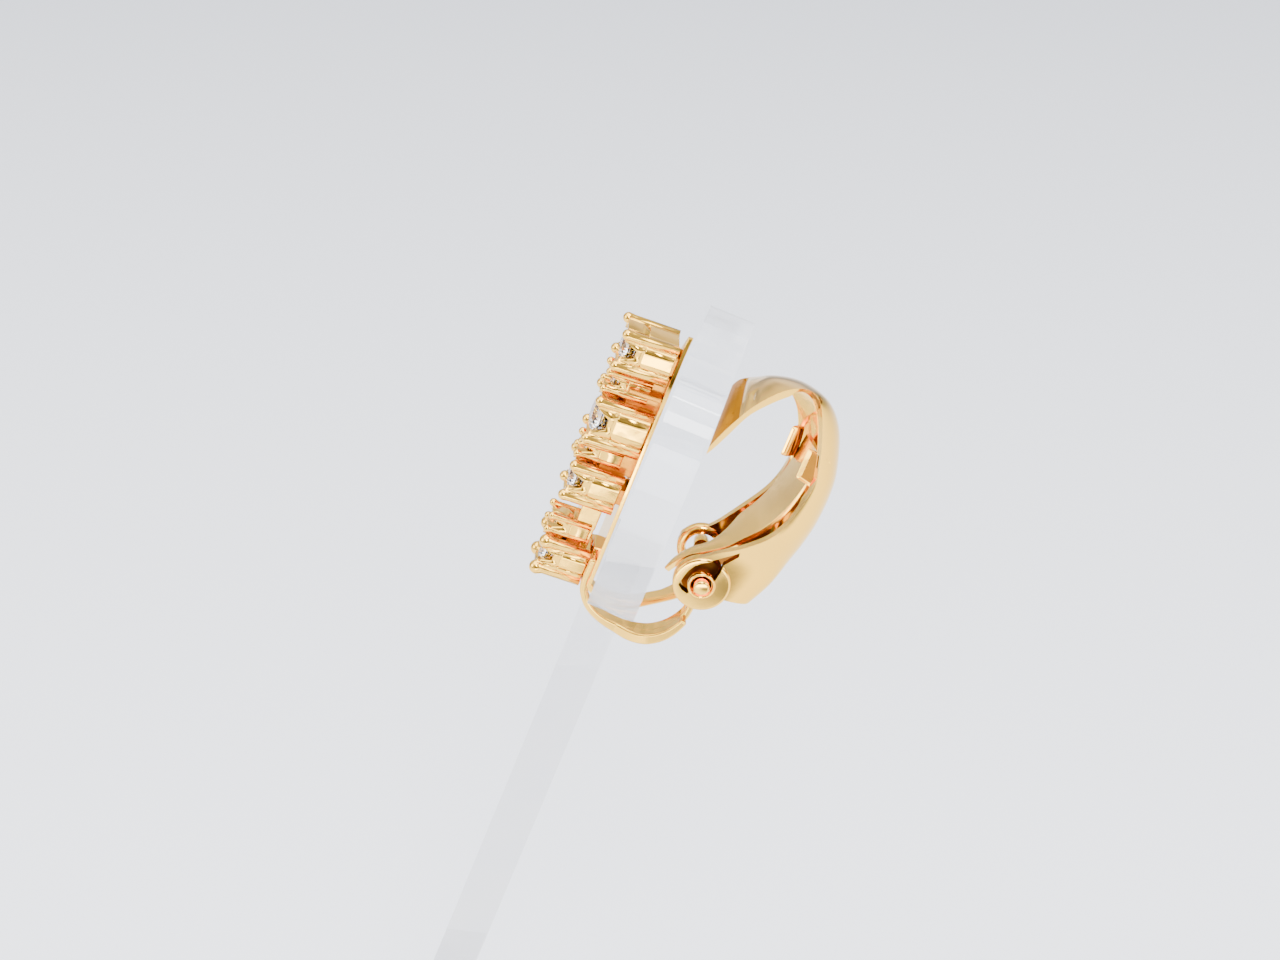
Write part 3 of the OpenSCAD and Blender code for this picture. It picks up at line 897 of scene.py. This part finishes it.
def dress_solids():
    """The stones and the clear stand keep their solids and get their materials here."""
    for name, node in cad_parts.items():
        if name.startswith("stone"):
            material = STONE
        elif name.startswith("display"):
            material = ACRYLIC if name == "display_head" else ACRYLIC_STEM
            add_bevel(node, 0.12, 3, 40)
        else:
            continue
        for slot in node.material_slots:
            slot.material = material


make_clip()
make_front()
dress_solids()


# Stage in metres. The floor ends on the photo's side, and fades from one tone to the other along X.
FLOOR_X = (-4, 0.40)
FLOOR_Y = (-4, 4)
# The fade is a painted falloff of light: the floor darker far off and lighter toward the stand.
FADE_X = (-0.55, 0.02)
FADE_TONES = ((0.64, 0.675, 0.72, 1), (0.90, 0.925, 0.985, 1))
# One soft grey spot beside the stand, out of the frame, is a painted shadow on the floor; the polished near
# cheek and leg reflect it as dark shading.
SPOT_AT = (0.085, 0.052, 0)
SPOT_R = (0.008, 0.036)
PAINTED_SHADOW_TONE = (0.16, 0.17, 0.24, 1)
WHITE = (1, 1, 1, 1)
# Soft lights that all face one point: name, place, width and height, power in watts.
LIGHT_AIM = (0.005, 0.018, 0.045)
LIGHTS = (
    ("top_soft", (0.05, 0.0, 0.45), (0.5, 0.5), 4.0),
    ("front_soft", (0.20, -0.40, 0.25), (0.3, 0.3), 1.6),
    ("back_soft", (0.10, 0.45, 0.25), (0.3, 0.2), 1.4),
    ("key_wide", (0.245, 0.087, 0.234), (0.07, 0.12), 0.75),
    ("key_thin", (0.040, 0.127, 0.339), (0.02, 0.15), 0.28),
    ("low_strip", (0.113, 0.036, 0.008), (0.08, 0.014), 0.04),
)
# The world is a white tent with a dark opening toward the photo's side and soft clouds. Each ramp's
# rows are place and brightness.
WORLD_STRENGTH = 1.15
HEIGHT_RAMP = ((0.0, 0.10), (0.48, 0.14), (0.51, 0.60), (0.56, 1.0), (1.0, 1.0))
OPENING_TOWARD = (0.963, 0.10, 0.25)
OPENING_RAMP = ((0.0, 1.0), (0.84, 1.0), (0.93, 0.5), (1.0, 0.4))
CLOUD_SCALE = 2.6
CLOUD_RAMP = ((0.0, 0.65), (0.42, 0.7), (0.50, 1.05), (0.60, 1.35), (1.0, 1.5))


def make_floor():
    material, tree, shader = new_material("floor")
    shader.inputs["Roughness"].default_value = 0.9
    shader.inputs["Specular IOR Level"].default_value = 0.0
    coords = tree.nodes.new("ShaderNodeTexCoord").outputs["Object"]
    split = tree.nodes.new("ShaderNodeSeparateXYZ")
    tree.links.new(coords, split.inputs[0])
    # Painted light falloff along X.
    fade = add_mix(tree, add_range(tree, split.outputs["X"], *FADE_X), *FADE_TONES)
    # Painted shadow: a soft grey spot on the floor.
    away = add_vector_math(tree, "DISTANCE", coords, SPOT_AT)
    spot = add_mix(tree, add_range(tree, away, *SPOT_R, kind="SMOOTHSTEP"), PAINTED_SHADOW_TONE, WHITE)
    tree.links.new(add_mix(tree, 1, fade, spot, "MULTIPLY"), shader.inputs["Base Color"])
    x0, x1 = FLOOR_X
    y0, y1 = FLOOR_Y
    mesh = bpy.data.meshes.new("floor")
    mesh.from_pydata([(x0, y0, 0), (x1, y0, 0), (x1, y1, 0), (x0, y1, 0)], [], [(0, 1, 2, 3)])
    mesh.materials.append(material)
    floor = bpy.data.objects.new("floor", mesh)
    bpy.context.collection.objects.link(floor)


def make_lights():
    for name, at, size, power in LIGHTS:
        data = bpy.data.lights.new(name, "AREA")
        data.shape = "RECTANGLE"
        data.size, data.size_y = size
        data.energy = power
        light = bpy.data.objects.new(name, data)
        light.location = at
        light.rotation_euler = (Vector(LIGHT_AIM) - Vector(at)).to_track_quat("-Z", "Y").to_euler()
        bpy.context.collection.objects.link(light)


def add_ramp(tree, source, low, high, stops):
    """Greys with a slight blue cast, by the place of source between low and high."""
    ramp = tree.nodes.new("ShaderNodeValToRGB")
    elements = ramp.color_ramp.elements
    while len(elements) < len(stops):
        elements.new(0.5)
    for element, (place, v) in zip(elements, stops):
        element.position = place
        element.color = (v, v, v * 1.02, 1)
    tree.links.new(add_range(tree, source, low, high), ramp.inputs[0])
    return ramp.outputs[0]


def make_world():
    world = bpy.data.worlds.new("studio")
    bpy.context.scene.world = world
    world.use_nodes = True
    tree = world.node_tree
    background = tree.nodes["Background"]
    background.inputs["Strength"].default_value = WORLD_STRENGTH
    coords = tree.nodes.new("ShaderNodeTexCoord").outputs["Generated"]
    split = tree.nodes.new("ShaderNodeSeparateXYZ")
    tree.links.new(coords, split.inputs[0])
    height = add_ramp(tree, split.outputs["Z"], -1, 1, HEIGHT_RAMP)
    toward = add_vector_math(tree, "DOT_PRODUCT", coords, OPENING_TOWARD)
    opening = add_ramp(tree, toward, 0, 1, OPENING_RAMP)
    clouds = add_ramp(tree, add_noise(tree, coords, CLOUD_SCALE, 1), 0, 1, CLOUD_RAMP)
    tent = add_mix(tree, 1, height, opening, "MULTIPLY")
    tree.links.new(add_mix(tree, 1, tent, clouds, "MULTIPLY"), background.inputs["Color"])


make_floor()
make_lights()
make_world()
